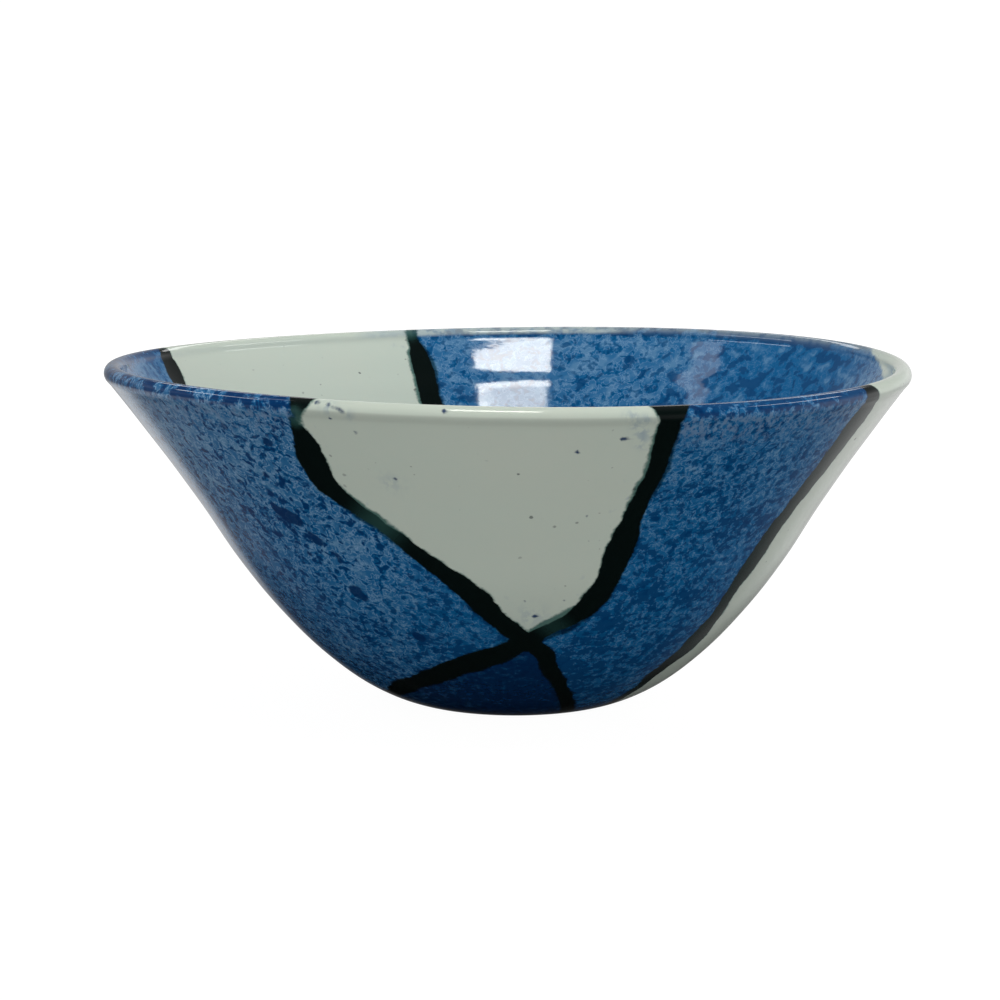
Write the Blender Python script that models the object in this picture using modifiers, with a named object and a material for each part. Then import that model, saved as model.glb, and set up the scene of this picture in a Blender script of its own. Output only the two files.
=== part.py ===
"""Serving bowl: one piece of glazed stoneware with a wide flaring wall and a rounded lip.

Units are metres and +Z is up. The origin is on the ground, under the middle of the rim.

The bowl is a profile turned round its axis. The profile runs from the middle of the floor up the
inside, over the lip and down the outside to the foot, then under the foot ring to the axis. As on
any bowl thrown by hand, the finished shape is a little out of true: the foot sits slightly to one
side of the rim, and the rim rises and falls gently. The foot ring itself stays flat.
"""
import math

import bpy
import numpy as np

NAME = "bowl"
COLLECTION = "serving_bowl"

# Overall size
RIM_RADIUS = 0.150
HEIGHT = 0.127

# Thickness of the wall under the lip, of the wall where it meets the foot, and of the floor
WALL = 0.0058
FOOT_WALL = 0.0110
FLOOR = 0.0055

# The floor stays level this far from its middle, and meets the wall's slope over this length
FLOOR_LEVEL = 0.018
FLOOR_RISE = 0.009

# The lip stands out from the wall by these steps, eased in by hollows of this radius
LIP_STEP_OUTSIDE = 0.0002
LIP_STEP_INSIDE = 0.0008
LIP_HOLLOW = 0.0050

# Outer wall at the foot: its radius, its slope above the ground and how far it keeps that slope
FOOT_RADIUS = 0.041
FOOT_SLOPE = math.radians(13.5)
FOOT_HOLD = 0.0305

# Outer wall at the waist, where the round belly turns into the flare
WAIST_RADIUS = 0.107
WAIST_HEIGHT = 0.0605
WAIST_SLOPE = math.radians(58.0)
WAIST_HOLD = 0.0135

# Outer wall at the neck, under the lip
NECK_SLOPE = math.radians(53.3)
NECK_HOLD = 0.047

# Foot ring and the recess inside it
RING_WIDTH = 0.0075
RING_BEVEL = 0.0015
RECESS = 0.0020

# Thrown by hand: the foot is off centre, and the rim has two high places and two low ones
FOOT_OFFSET = 0.0027
RIM_WAVE = 0.00125
RIM_WAVE_DIRECTION = math.radians(35.0)

# Faces round the bowl, and along each stretch of the profile
SIDES = 72
BELLY_FACES = 8
FLARE_FACES = 6
HOLLOW_FACES = 2
LIP_FACES = 8
FLOOR_FACES = 5
RECESS_FACES = 3

MERGE_DISTANCE = 1e-5
SHARP_EDGE = math.radians(40.0)

# Glaze: the blue that covers most of the bowl
GLAZE_COLOUR = (0.035, 0.130, 0.240, 1.0)
GLAZE_ROUGHNESS = 0.12


def clear_scene():
    """Removes every object that the scene starts with."""
    for old in list(bpy.data.objects):
        bpy.data.objects.remove(old, do_unlink=True)


def direction(angle):
    """Unit vector in the profile plane, at an angle above the outward horizontal."""
    return np.array([math.cos(angle), math.sin(angle)])


def bezier(start, start_slope, start_hold, end, end_slope, end_hold, faces):
    """Points of a cubic curve that leaves start and reaches end at the given slopes."""
    leave = start + start_hold * direction(start_slope)
    reach = end - end_hold * direction(end_slope)
    t = np.linspace(0.0, 1.0, faces + 1)[:, None]
    return (1 - t) ** 3 * start + 3 * (1 - t) ** 2 * t * leave + 3 * (1 - t) * t ** 2 * reach + t ** 3 * end


def arc(centre, radius, start, end, faces):
    """Points of an arc from one angle to another, both above the outward horizontal."""
    angle = np.linspace(start, end, faces + 1)
    return centre + radius * np.stack([np.cos(angle), np.sin(angle)], axis=1)


def lip_radius():
    """Radius of the lip: half of the wall and of the two steps that the lip adds to it."""
    return (WALL + LIP_STEP_OUTSIDE + LIP_STEP_INSIDE) / 2


def lip_centre():
    """Middle of the round lip, which reaches the rim's radius and the bowl's height."""
    return np.array([RIM_RADIUS - lip_radius(), HEIGHT - lip_radius()])


def hollow_turn(step):
    """Angle that a hollow under the lip turns through, for the step between lip and wall."""
    return math.acos((lip_radius() - step + LIP_HOLLOW) / (lip_radius() + LIP_HOLLOW))


def hollow(step, wall_normal, side):
    """Hollow between wall and lip, from the wall up to the lip.

    The hollow is an arc that touches both the wall and the round lip. side is -1 on the outside
    of the bowl, where the hollow lies clockwise of the wall's normal, and 1 on the inside.
    """
    turn = hollow_turn(step)
    towards_lip = wall_normal + side * turn
    centre = lip_centre() + (lip_radius() + LIP_HOLLOW) * direction(towards_lip)
    return arc(centre, LIP_HOLLOW, wall_normal + math.pi, towards_lip + math.pi, HOLLOW_FACES)


def outer_wall(neck):
    """Outer wall from the foot through the waist to the neck."""
    foot = np.array([FOOT_RADIUS, 0.0])
    waist = np.array([WAIST_RADIUS, WAIST_HEIGHT])
    belly = bezier(foot, FOOT_SLOPE, FOOT_HOLD, waist, WAIST_SLOPE, WAIST_HOLD, BELLY_FACES)
    flare = bezier(waist, WAIST_SLOPE, WAIST_HOLD, neck, NECK_SLOPE, NECK_HOLD, FLARE_FACES)
    return np.concatenate([belly, flare[1:]])


def inner_wall(outer):
    """Inner wall, set in from the outer one by a thickness that grows towards the foot."""
    along = np.gradient(outer, axis=0)
    along /= np.linalg.norm(along, axis=1)[:, None]
    inward = np.stack([-along[:, 1], along[:, 0]], axis=1)
    steps = np.linalg.norm(np.diff(outer, axis=0), axis=1)
    share = np.concatenate([[0.0], np.cumsum(steps)]) / steps.sum()
    thickness = WALL + (FOOT_WALL - WALL) * (1 - share) ** 2
    return outer + inward * thickness[:, None]


def floor(wall):
    """Floor inside, from its middle out to the foot of the inner wall."""
    middle = np.array([0.0, RECESS + FLOOR])
    rise = wall[1] - wall[0]
    slope = math.atan2(rise[1], rise[0])
    return bezier(middle, 0.0, FLOOR_LEVEL, wall[0], slope, FLOOR_RISE, FLOOR_FACES)


def underside():
    """Underside from the outer edge of the foot ring to the axis: the ring, then the recess."""
    ring_inside = FOOT_RADIUS - RING_WIDTH
    recess_edge = ring_inside - RING_BEVEL
    recess = np.linspace(recess_edge, 0.0, RECESS_FACES + 1)
    roof = np.stack([recess, np.full_like(recess, RECESS)], axis=1)
    return np.concatenate([[[ring_inside, 0.0]], roof])


def profile():
    """Closed half of the bowl's section, down the outer side, as (radius, height) points."""
    outward = NECK_SLOPE - math.pi / 2
    inward = outward + math.pi
    outside = hollow(LIP_STEP_OUTSIDE, outward, -1)
    inside = hollow(LIP_STEP_INSIDE, inward, 1)
    wall = outer_wall(outside[0])
    lining = inner_wall(wall)
    lip_start = inward + hollow_turn(LIP_STEP_INSIDE)
    lip_end = outward - hollow_turn(LIP_STEP_OUTSIDE)
    lip = arc(lip_centre(), lip_radius(), lip_start, lip_end, LIP_FACES)
    return np.concatenate([
        floor(lining),
        lining[1:-1],
        inside,
        lip[1:],
        outside[-2::-1],
        wall[-2::-1],
        underside(),
    ])


def turn(points):
    """Object whose mesh is the profile turned once round the Z axis."""
    mesh = bpy.data.meshes.new(NAME + "_profile")
    vertices = [(radius, 0.0, height) for radius, height in points]
    edges = [(i, i + 1) for i in range(len(points) - 1)]
    mesh.from_pydata(vertices, edges, [])
    turned = bpy.data.objects.new(NAME, mesh)
    screw = turned.modifiers.new("turn", "SCREW")
    screw.axis = "Z"
    screw.angle = 2 * math.pi
    screw.steps = SIDES
    screw.render_steps = SIDES
    screw.use_merge_vertices = True
    screw.merge_threshold = MERGE_DISTANCE
    return turned


def apply_modifiers(turned):
    """Gives the object the mesh that its modifiers make."""
    depsgraph = bpy.context.evaluated_depsgraph_get()
    mesh = bpy.data.meshes.new_from_object(turned.evaluated_get(depsgraph))
    turned.modifiers.clear()
    turned.data = mesh
    mesh.name = NAME


def ease_out_of_true(mesh):
    """Moves the foot to one side, and lets the rim rise and fall twice round the bowl.

    The sideways shift fades from the foot to the rim, and the rise grows with the square of the
    height, so that the foot ring stays flat on the ground.
    """
    place = np.empty(len(mesh.vertices) * 3, dtype=np.float32)
    mesh.vertices.foreach_get("co", place)
    x, y, z = place.reshape(-1, 3).T.astype(np.float64)
    share = z / HEIGHT
    angle = np.arctan2(y, x)
    rise = RIM_WAVE * np.cos(2 * (angle - RIM_WAVE_DIRECTION)) * share ** 2
    eased = np.stack([x + FOOT_OFFSET * (1 - share), y, z + rise], axis=1)
    mesh.vertices.foreach_set("co", eased.astype(np.float32).ravel())
    mesh.update()


def glaze():
    """Glossy blue glaze."""
    material = bpy.data.materials.new("glaze")
    material.use_nodes = True
    shader = material.node_tree.nodes["Principled BSDF"]
    shader.inputs["Base Color"].default_value = GLAZE_COLOUR
    shader.inputs["Roughness"].default_value = GLAZE_ROUGHNESS
    shader.inputs["Metallic"].default_value = 0.0
    material.diffuse_color = GLAZE_COLOUR
    return material


def main():
    """Builds the bowl in its own collection."""
    clear_scene()
    collection = bpy.data.collections.new(COLLECTION)
    bpy.context.scene.collection.children.link(collection)
    bowl = turn(profile())
    collection.objects.link(bowl)
    bpy.context.view_layer.update()
    apply_modifiers(bowl)
    ease_out_of_true(bowl.data)
    bowl.data.materials.append(glaze())
    bowl.data.shade_smooth()
    bowl.data.set_sharp_from_angle(angle=SHARP_EDGE)


main()
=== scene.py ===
"""Looks of a serving bowl: one thrown and glazed piece on a pale sweep in soft studio light.

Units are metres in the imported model's frame, with +Z up and the ground at zero. Places on the wall
are given by an azimuth in degrees, anticlockwise from +X seen from above, and by a distance down the
wall from the lip's crest, which is negative on the inside. The bowl stands with its azimuth of -90
degrees towards the camera.
"""
import logging
import math
from dataclasses import dataclass
from enum import Enum
from typing import NamedTuple

import bpy
import numpy as np
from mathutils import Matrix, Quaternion, Vector


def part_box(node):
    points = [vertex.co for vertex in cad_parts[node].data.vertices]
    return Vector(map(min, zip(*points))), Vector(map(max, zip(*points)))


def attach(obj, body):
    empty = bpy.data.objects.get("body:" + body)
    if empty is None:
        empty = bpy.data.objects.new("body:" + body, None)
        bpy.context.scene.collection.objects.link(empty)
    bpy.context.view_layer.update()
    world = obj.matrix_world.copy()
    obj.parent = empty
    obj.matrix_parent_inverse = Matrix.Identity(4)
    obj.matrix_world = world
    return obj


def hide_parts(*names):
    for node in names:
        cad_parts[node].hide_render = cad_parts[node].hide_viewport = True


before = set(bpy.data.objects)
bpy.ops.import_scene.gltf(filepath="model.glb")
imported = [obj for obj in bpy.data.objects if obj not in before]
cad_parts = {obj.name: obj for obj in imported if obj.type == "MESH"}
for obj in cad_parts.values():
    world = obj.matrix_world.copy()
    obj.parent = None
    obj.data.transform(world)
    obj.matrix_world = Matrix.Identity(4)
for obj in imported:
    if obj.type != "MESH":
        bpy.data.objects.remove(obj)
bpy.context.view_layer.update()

BODY = "root"
NODE = "bowl"

MM = 0.001
BOX_MARGIN = 0.00005
FAR = 99.0

Colour = tuple[float, float, float]
Grid = dict[str, np.ndarray]

WINDOW_TINT: Colour = (1.0, 0.985, 0.93)
Socket = bpy.types.NodeSocket
Given = Socket | float | Colour | None

log = logging.getLogger("serving_bowl")


class Kind(Enum):
    """Kinds of socket that a shader node group has."""

    COLOUR = "NodeSocketColor"
    VALUE = "NodeSocketFloat"
    VECTOR = "NodeSocketVector"


def wrapped(degrees: np.ndarray) -> np.ndarray:
    """Angles in degrees, brought between -180 and 180."""
    return (degrees + 180.0) % 360.0 - 180.0


def direction(angle: float) -> np.ndarray:
    """Unit vector in the section's plane, at an angle above the outward horizontal."""
    return np.array([math.cos(angle), math.sin(angle)])


def bezier(
    start: np.ndarray,
    start_slope: float,
    start_hold: float,
    end: np.ndarray,
    end_slope: float,
    end_hold: float,
    faces: int,
) -> np.ndarray:
    """Points of a cubic curve that leaves its start and reaches its end at given slopes.

    Args:
        start: First point, as radius and height.
        start_slope: Slope at the first point, in radians.
        start_hold: How far the curve keeps its first slope.
        end: Last point.
        end_slope: Slope at the last point, in radians.
        end_hold: How far back the curve keeps its last slope.
        faces: Steps along the curve.

    Returns:
        Array of faces + 1 points.
    """
    leave = start + start_hold * direction(start_slope)
    reach = end - end_hold * direction(end_slope)
    t = np.linspace(0.0, 1.0, faces + 1)[:, None]
    return (1 - t) ** 3 * start + 3 * (1 - t) ** 2 * t * leave + 3 * (1 - t) * t**2 * reach + t**3 * end


def arc(centre: np.ndarray, radius: float, start: float, end: float, faces: int) -> np.ndarray:
    """Points of an arc from one angle to another, both above the outward horizontal."""
    angle = np.linspace(start, end, faces + 1)
    return centre + radius * np.stack([np.cos(angle), np.sin(angle)], axis=1)


def smoothstep(low: float, high: float, value: np.ndarray) -> np.ndarray:
    """Zero below low, one above high, and 3t^2 - 2t^3 between them."""
    t = np.clip((value - low) / (high - low), 0.0, 1.0)
    return t * t * (3.0 - 2.0 * t)


@dataclass(frozen=True)
class Section:
    """Half of the bowl's section, from the middle of the floor over the lip to the axis underneath.

    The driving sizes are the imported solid's. The rim's radius and the height come from its box.
    """

    rim_radius: float
    height: float
    wall: float = 0.0058
    foot_wall: float = 0.0110
    floor: float = 0.0055
    floor_level: float = 0.018
    floor_rise: float = 0.009
    step_outside: float = 0.0002
    step_inside: float = 0.0008
    lip_hollow: float = 0.0050
    foot_radius: float = 0.041
    foot_slope: float = math.radians(13.5)
    foot_hold: float = 0.0305
    waist_radius: float = 0.107
    waist_height: float = 0.0605
    waist_slope: float = math.radians(58.0)
    waist_hold: float = 0.0135
    neck_slope: float = math.radians(53.3)
    neck_hold: float = 0.047
    ring_width: float = 0.0075
    ring_bevel: float = 0.0015
    ring_edge: float = 0.0007
    recess: float = 0.0020
    wall_faces: int = 200
    lip_faces: int = 100
    hollow_faces: int = 20

    @property
    def lip_radius(self) -> float:
        """Radius of the round lip: half of the wall and of the steps that the lip adds to it."""
        return (self.wall + self.step_outside + self.step_inside) / 2

    @property
    def lip_centre(self) -> np.ndarray:
        """Middle of the round lip, which reaches the rim's radius and the bowl's height."""
        return np.array([self.rim_radius - self.lip_radius, self.height - self.lip_radius])

    def hollow_turn(self, step: float) -> float:
        """Angle that a hollow under the lip turns through, for the step between lip and wall."""
        return math.acos((self.lip_radius - step + self.lip_hollow) / (self.lip_radius + self.lip_hollow))

    def hollow(self, step: float, wall_normal: float, side: int) -> np.ndarray:
        """Hollow between wall and lip, as an arc that touches both.

        Args:
            step: How far the lip stands out from the wall.
            wall_normal: Angle of the wall's normal.
            side: -1 on the outside of the bowl and 1 on the inside.

        Returns:
            Points from the wall up to the lip.
        """
        turn = self.hollow_turn(step)
        towards_lip = wall_normal + side * turn
        centre = self.lip_centre + (self.lip_radius + self.lip_hollow) * direction(towards_lip)
        return arc(centre, self.lip_hollow, wall_normal + math.pi, towards_lip + math.pi, self.hollow_faces)

    def outer_wall(self, neck: np.ndarray) -> np.ndarray:
        """Outer wall as two cubic curves.

        Args:
            neck: Last point, where the hollow under the lip begins.

        Returns:
            Points from the foot's edge through the waist to the neck.
        """
        foot = np.array([self.foot_radius, 0.0])
        waist = np.array([self.waist_radius, self.waist_height])
        at_foot = (foot, self.foot_slope, self.foot_hold)
        at_waist = (waist, self.waist_slope, self.waist_hold)
        at_neck = (neck, self.neck_slope, self.neck_hold)
        belly = bezier(*at_foot, *at_waist, self.wall_faces)
        flare = bezier(*at_waist, *at_neck, self.wall_faces)
        return np.concatenate([belly, flare[1:]])

    def inner_wall(self, outer: np.ndarray) -> np.ndarray:
        """Inner wall: the outer one moved along its normal by a thickness that grows to the foot.

        The thickness adds the square of the share of the wall that is still below the neck.

        Args:
            outer: Points of the outer wall.

        Returns:
            As many points of the inner wall.
        """
        along = np.gradient(outer, axis=0)
        along /= np.linalg.norm(along, axis=1)[:, None]
        inward = np.stack([-along[:, 1], along[:, 0]], axis=1)
        steps = np.linalg.norm(np.diff(outer, axis=0), axis=1)
        share = np.concatenate([[0.0], np.cumsum(steps)]) / steps.sum()
        thickness = self.wall + (self.foot_wall - self.wall) * (1 - share) ** 2
        return outer + inward * thickness[:, None]

    def floor_line(self, wall: np.ndarray) -> np.ndarray:
        """Floor inside, as a cubic curve.

        Args:
            wall: Points of the inner wall.

        Returns:
            Points from the floor's level middle to the slope of the wall.
        """
        middle = np.array([0.0, self.recess + self.floor])
        rise = wall[1] - wall[0]
        slope = math.atan2(rise[1], rise[0])
        return bezier(middle, 0.0, self.floor_level, wall[0], slope, self.floor_rise, self.wall_faces)

    def underside(self) -> np.ndarray:
        """Underside.

        Returns:
            Points from the ring's rounded outer edge to the axis.
        """
        ring_inside = self.foot_radius - self.ring_width
        recess_edge = ring_inside - self.ring_bevel
        edge = np.array([self.foot_radius - self.ring_edge, 0.0])
        return np.array([edge, [ring_inside, 0.0], [recess_edge, self.recess], [0.0, self.recess]])

    def line(self) -> np.ndarray:
        """Whole half of the section.

        Returns:
            Closely set points of radius and height, from the floor's middle to the axis underneath.
        """
        outward = self.neck_slope - math.pi / 2
        inward = outward + math.pi
        outside = self.hollow(self.step_outside, outward, -1)
        inside = self.hollow(self.step_inside, inward, 1)
        wall = self.outer_wall(outside[0])
        lining = self.inner_wall(wall)
        lining = lining[lining[:, 1] < inside[0, 1]]
        lip_start = inward + self.hollow_turn(self.step_inside)
        lip_end = outward - self.hollow_turn(self.step_outside)
        lip = arc(self.lip_centre, self.lip_radius, lip_start, lip_end, self.lip_faces)
        above_edge = wall[wall[:, 1] > self.ring_edge / 2]
        return np.concatenate([
            self.floor_line(lining),
            lining[1:],
            inside,
            lip[1:],
            outside[-2::-1],
            above_edge[-2::-1],
            self.underside(),
        ])


class Mark(NamedTuple):
    """One place that a brush stroke passes, in mm and degrees.

    Attributes:
        down: Distance down the wall from the lip's crest, negative inside.
        azimuth: Direction of the stroke's middle.
        width: Breadth of the stroke.
        depth: How thickly the colour lies, from 0 to 1.
        wash: How far thin colour bleeds past the stroke's edge.
    """

    down: float
    azimuth: float
    width: float
    depth: float = 1.0
    wash: float = 0.3


@dataclass(frozen=True)
class Stroke:
    """Band laid on with a loaded brush, from the floor inside, over the lip, to the foot outside.

    Attributes:
        marks: Places that it passes, in order down the wall.
        step: Distance between the places of its course, in mm.
        blur: Length in mm over which the course is averaged.
        hidden: Distance down the wall, inside, past which it is averaged over hidden_blur.
    """

    marks: tuple[Mark, ...]
    step: float = 0.5
    blur: float = 4.0
    hidden: float = -45.0
    hidden_blur: float = 26.0

    def course(self) -> np.ndarray:
        """Marks joined by straight lines at close steps, then averaged over the blur's length.

        Deep inside the bowl the average is taken over a longer way, so that the stroke bends gently.

        Returns:
            Array of rows of down, azimuth, width, depth and wash.
        """
        marks = np.array(self.marks)
        down = np.arange(marks[0, 0], marks[-1, 0] + self.step, self.step)
        deep = smoothstep(self.hidden, self.hidden - self.hidden_blur, down)
        rows = [down]
        for column in marks.T[1:]:
            joined = np.interp(down, marks[:, 0], column)
            close = self.averaged(joined, self.blur)
            rows.append(close + (self.averaged(joined, self.hidden_blur) - close) * deep)
        return np.stack(rows, axis=1)

    def averaged(self, values: np.ndarray, length: float) -> np.ndarray:
        """Values of the course, each replaced by the mean over a length in mm about it."""
        window = int(length / self.step) | 1
        return np.convolve(np.pad(values, window // 2, mode="edge"), np.ones(window) / window, mode="valid")

    def middle(self, down: np.ndarray) -> np.ndarray:
        """Azimuth of the stroke's middle at each distance down the wall, in mm."""
        course = self.course()
        return np.interp(down, course[:, 0], course[:, 1])


@dataclass(frozen=True)
class Field:
    """Plain white field between two strokes, which closes where they cross.

    A blend below 1 stretches the signed distance on that side, so that the edge there turns soft.
    """

    left: Stroke
    right: Stroke
    left_blend: float = 1.0
    right_blend: float = 1.0

    def inside(self, grid: Grid) -> np.ndarray:
        """Distance to the nearer of the two strokes along the ring.

        Args:
            grid: Arrays of the surface.

        Returns:
            Distance in mm, positive inside the field.
        """
        left, right = self.left.middle(grid["down"]), self.right.middle(grid["down"])
        half = (right - left) / 2
        off = wrapped(grid["azimuth"] - (left + right) / 2)
        return np.minimum((half + off) * self.left_blend, (half - off) * self.right_blend) * grid["metric"]


class Spot(NamedTuple):
    """Round place on the wall, in mm and degrees: a dab of colour or a soft cloud in the glaze."""

    down: float
    azimuth: float
    radius: float
    strength: float = 1.0

    def gap(self, grid: Grid) -> np.ndarray:
        """Distance of each place on the surface from the spot's middle, in mm."""
        across = wrapped(grid["azimuth"] - self.azimuth) * grid["metric"]
        return np.hypot(across, grid["down"] - self.down)


LEFT_FRONT = Stroke((
    Mark(-150, -60, 2, 0.2), Mark(-125, -78, 6), Mark(-90, -100, 8), Mark(-60, -108, 9),
    Mark(-40, -112, 10), Mark(-15, -117, 8), Mark(-3, -117, 9), Mark(0, -117, 10),
    Mark(2.5, -117, 7, 1, 0.4), Mark(7.5, -117.6, 2.4, 0.3, 0.8), Mark(12, -118.4, 3, 0.6, 0.6),
    Mark(16, -118.2, 6.4, 1, 0.15), Mark(20, -118, 9.5, 1, 0.15), Mark(30, -118.5, 11.5, 1, 0.15),
    Mark(37, -118.3, 10.8, 1, 0.15), Mark(42, -117.2, 8.6), Mark(47, -115.3, 6.2, 0.9, 1),
    Mark(52, -113, 5.4, 0.7, 1.2), Mark(57, -110.7, 5, 0.62, 1.2), Mark(64, -107.5, 6, 0.9),
    Mark(72, -104.4, 6.4, 1, 0.15), Mark(80, -100, 8, 1, 0.15), Mark(88, -96.2, 9.6),
    Mark(96, -93.7, 8), Mark(102, -91, 7), Mark(109, -87, 7), Mark(117, -82.6, 7.2),
    Mark(125, -81, 6.6), Mark(131, -79, 5.6), Mark(137, -76.8, 5.2), Mark(145, -74, 5.2),
    Mark(152, -71.5, 5.4), Mark(158, -69.5, 5), Mark(168, -66, 5),
))

RIGHT_FRONT = Stroke((
    Mark(-150, -135, 2, 0.2), Mark(-125, -100, 6), Mark(-100, -85, 8), Mark(-50, -72, 9),
    Mark(-10, -70, 8), Mark(-3, -69, 13), Mark(-1, -69, 14), Mark(2, -69.2, 11), Mark(7, -69.4, 7.4),
    Mark(14, -69.2, 8.2, 1, 0.8), Mark(20, -69.2, 7.6, 1, 1.2), Mark(30, -69.1, 6.8, 1, 1.4),
    Mark(36, -69.6, 6.6, 1, 1.2), Mark(44, -70.1, 6.8, 1, 0.6), Mark(52, -70.6, 7.6),
    Mark(60, -71, 9.8), Mark(68, -71.5, 10.4), Mark(76, -72, 9.2), Mark(82, -72.9, 8.6),
    Mark(88, -74, 9.6), Mark(94, -75.8, 8.6), Mark(98, -78, 6.6, 0.9, 2),
    Mark(101, -80.6, 5.4, 0.7, 2.2), Mark(104, -83.5, 5.2, 0.8, 2), Mark(108, -86, 7),
    Mark(114, -90.5, 8), Mark(118.5, -95, 9.6), Mark(122, -100, 10), Mark(126, -105, 9),
    Mark(131, -110, 9), Mark(135.5, -115, 8), Mark(139, -120, 6.6), Mark(142.5, -125, 7.6),
    Mark(147, -130, 7.2), Mark(151, -135, 6), Mark(168, -160, 5),
))

RIGHT_SIDE = Stroke((
    Mark(-150, -60, 2, 0.2), Mark(-110, -38, 7), Mark(-60, -36, 9), Mark(-10, -33.5, 8),
    Mark(-3, -33.2, 7), Mark(3, -33, 7.6), Mark(8, -32.6, 10.6, 0.82), Mark(16, -32.4, 15, 0.82),
    Mark(24, -32.6, 13.4, 0.82), Mark(32, -33, 12.4, 0.82), Mark(40, -33.3, 12, 0.82),
    Mark(46, -34, 10.6, 0.82), Mark(56, -35.2, 9.2, 0.82), Mark(64, -36.3, 9.8, 0.82),
    Mark(72, -37, 10.6, 0.82), Mark(80, -37.7, 10.6, 0.82), Mark(88, -38.6, 8, 0.82),
    Mark(96, -38.8, 6.6, 0.82), Mark(104, -38.6, 7.8, 0.82), Mark(112, -38.8, 9.8, 0.82),
    Mark(120, -38.9, 12, 0.82), Mark(126, -40.3, 9.2, 0.82), Mark(132, -43, 7.6, 0.9),
    Mark(138, -44.4, 7.4, 0.9), Mark(145, -45, 5, 0.82), Mark(152, -46, 5, 0.82),
    Mark(168, -47, 5, 0.82),
))

RIGHT_BACK = Stroke((
    Mark(-150, -110, 2, 0), Mark(-110, -60, 4, 0), Mark(-60, -24, 4, 0), Mark(-20, -8, 4, 0),
    Mark(-10, -1, 4, 0), Mark(-5, 8, 4, 0), Mark(-1, 15, 4, 0), Mark(6, 18, 4, 0.2), Mark(20, 22, 7),
    Mark(50, 29, 10), Mark(80, 34, 8), Mark(110, 39, 9), Mark(140, 44, 6), Mark(168, 48, 5),
))

MIDDLE_BACK = Stroke((
    Mark(-150, 165, 2, 0.2), Mark(-125, 134, 6), Mark(-100, 114, 8), Mark(-80, 108, 8),
    Mark(-60, 106, 9), Mark(-40, 105.1, 9, 1, 1), Mark(-30, 105.3, 8.6, 1, 1),
    Mark(-20, 105.7, 8.6, 1, 1.2), Mark(-15, 105.9, 8, 1, 1), Mark(-11, 106, 6.4, 1, 0.8),
    Mark(-8, 106.3, 5, 0.9, 0.8), Mark(-5.5, 106.6, 4, 0.8, 0.6), Mark(-4, 106.6, 3, 0.3, 0.5),
    Mark(-2, 106.5, 3.6, 0.25, 0.5), Mark(2, 106.3, 3, 0.25, 0.6), Mark(8, 106.5, 8), Mark(30, 107, 10),
    Mark(60, 110, 9), Mark(90, 119, 8), Mark(107, 129, 8), Mark(125, 142, 9), Mark(145, 156, 7),
    Mark(168, 172, 5),
))

LEFT_BACK = Stroke((
    Mark(-150, 95, 2, 0.2), Mark(-125, 124, 6), Mark(-100, 148, 8), Mark(-80, 157, 8),
    Mark(-40, 164, 9), Mark(-15, 161.2, 9.6), Mark(-10, 160.3, 10.6), Mark(-5, 159.8, 8.6),
    Mark(-2, 159.6, 4.5, 0.8), Mark(2, 159.5, 4, 0.6), Mark(8, 159.5, 8), Mark(30, 158, 11),
    Mark(60, 153, 8), Mark(90, 141, 9), Mark(107, 130, 8), Mark(125, 117, 8), Mark(145, 106, 7),
    Mark(168, 96, 5),
))

STROKES = (LEFT_FRONT, RIGHT_FRONT, RIGHT_SIDE, RIGHT_BACK, MIDDLE_BACK, LEFT_BACK)

FIELDS = (
    Field(LEFT_FRONT, RIGHT_FRONT),
    Field(RIGHT_SIDE, RIGHT_BACK, right_blend=0.18),
    Field(MIDDLE_BACK, LEFT_BACK),
)

DABS = (
    Spot(54, -130.8, 2.4), Spot(56, -129.4, 3.4), Spot(57, -127.6, 2.8), Spot(64, -125.8, 2.2),
    Spot(66, -125, 2.8), Spot(71, -122.6, 1.2), Spot(88, -121.5, 2.8), Spot(91, -120, 1.8),
    Spot(109, -111.3, 2.2), Spot(119, -107, 1.2), Spot(22, -124.8, 2.2), Spot(38, -129, 1.4),
    Spot(74, -121.9, 1.6), Spot(73, -128.7, 1.2), Spot(53, -136, 1.3), Spot(4, -65.5, 1.6),
    Spot(2.5, -66, 1.2), Spot(3.3, -97.7, 0.9), Spot(14.3, -75.2, 1.0), Spot(14, -74.2, 0.7),
    Spot(16, -77.5, 0.7), Spot(14.4, -82.4, 0.5), Spot(20, -81, 0.8), Spot(31.5, -72.7, 0.7),
    Spot(50, -78.3, 0.4), Spot(61.7, -75.4, 0.6), Spot(61.5, -76.9, 0.4), Spot(66, -82, 0.4),
    Spot(88.6, -80.1, 0.8), Spot(89, -87.5, 0.6), Spot(93, -85.2, 0.5), Spot(96.3, -85.5, 0.8),
    Spot(13.8, -109.7, 0.8), Spot(30.4, -109.7, 0.4), Spot(34, -106.4, 0.5), Spot(39, -107, 0.5),
    Spot(21.5, -94.2, 0.5), Spot(23.7, -92.8, 0.4), Spot(56, -104.8, 0.4), Spot(62, -102, 0.5),
    Spot(8, -112.8, 0.8), Spot(6.3, -109.6, 0.5), Spot(2.6, -114.4, 0.8), Spot(3.4, -113, 0.9),
    Spot(4.2, -112.1, 0.6), Spot(5, -110.8, 0.5),
)

SMUDGES = (
    Spot(4.5, -74.6, 1.8, 0.6), Spot(8, -74, 2, 0.7), Spot(11.4, -73, 1.8, 0.9), Spot(14, -72.2, 1.4),
    Spot(6, -72.6, 1.6, 0.6), Spot(4, -112.8, 2.4, 0.5), Spot(6.5, -110, 2, 0.35),
    Spot(18, -72.6, 1.6, 0.5), Spot(96, -86, 5, 0.35), Spot(36, -107, 4, 0.3),
)

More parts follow.
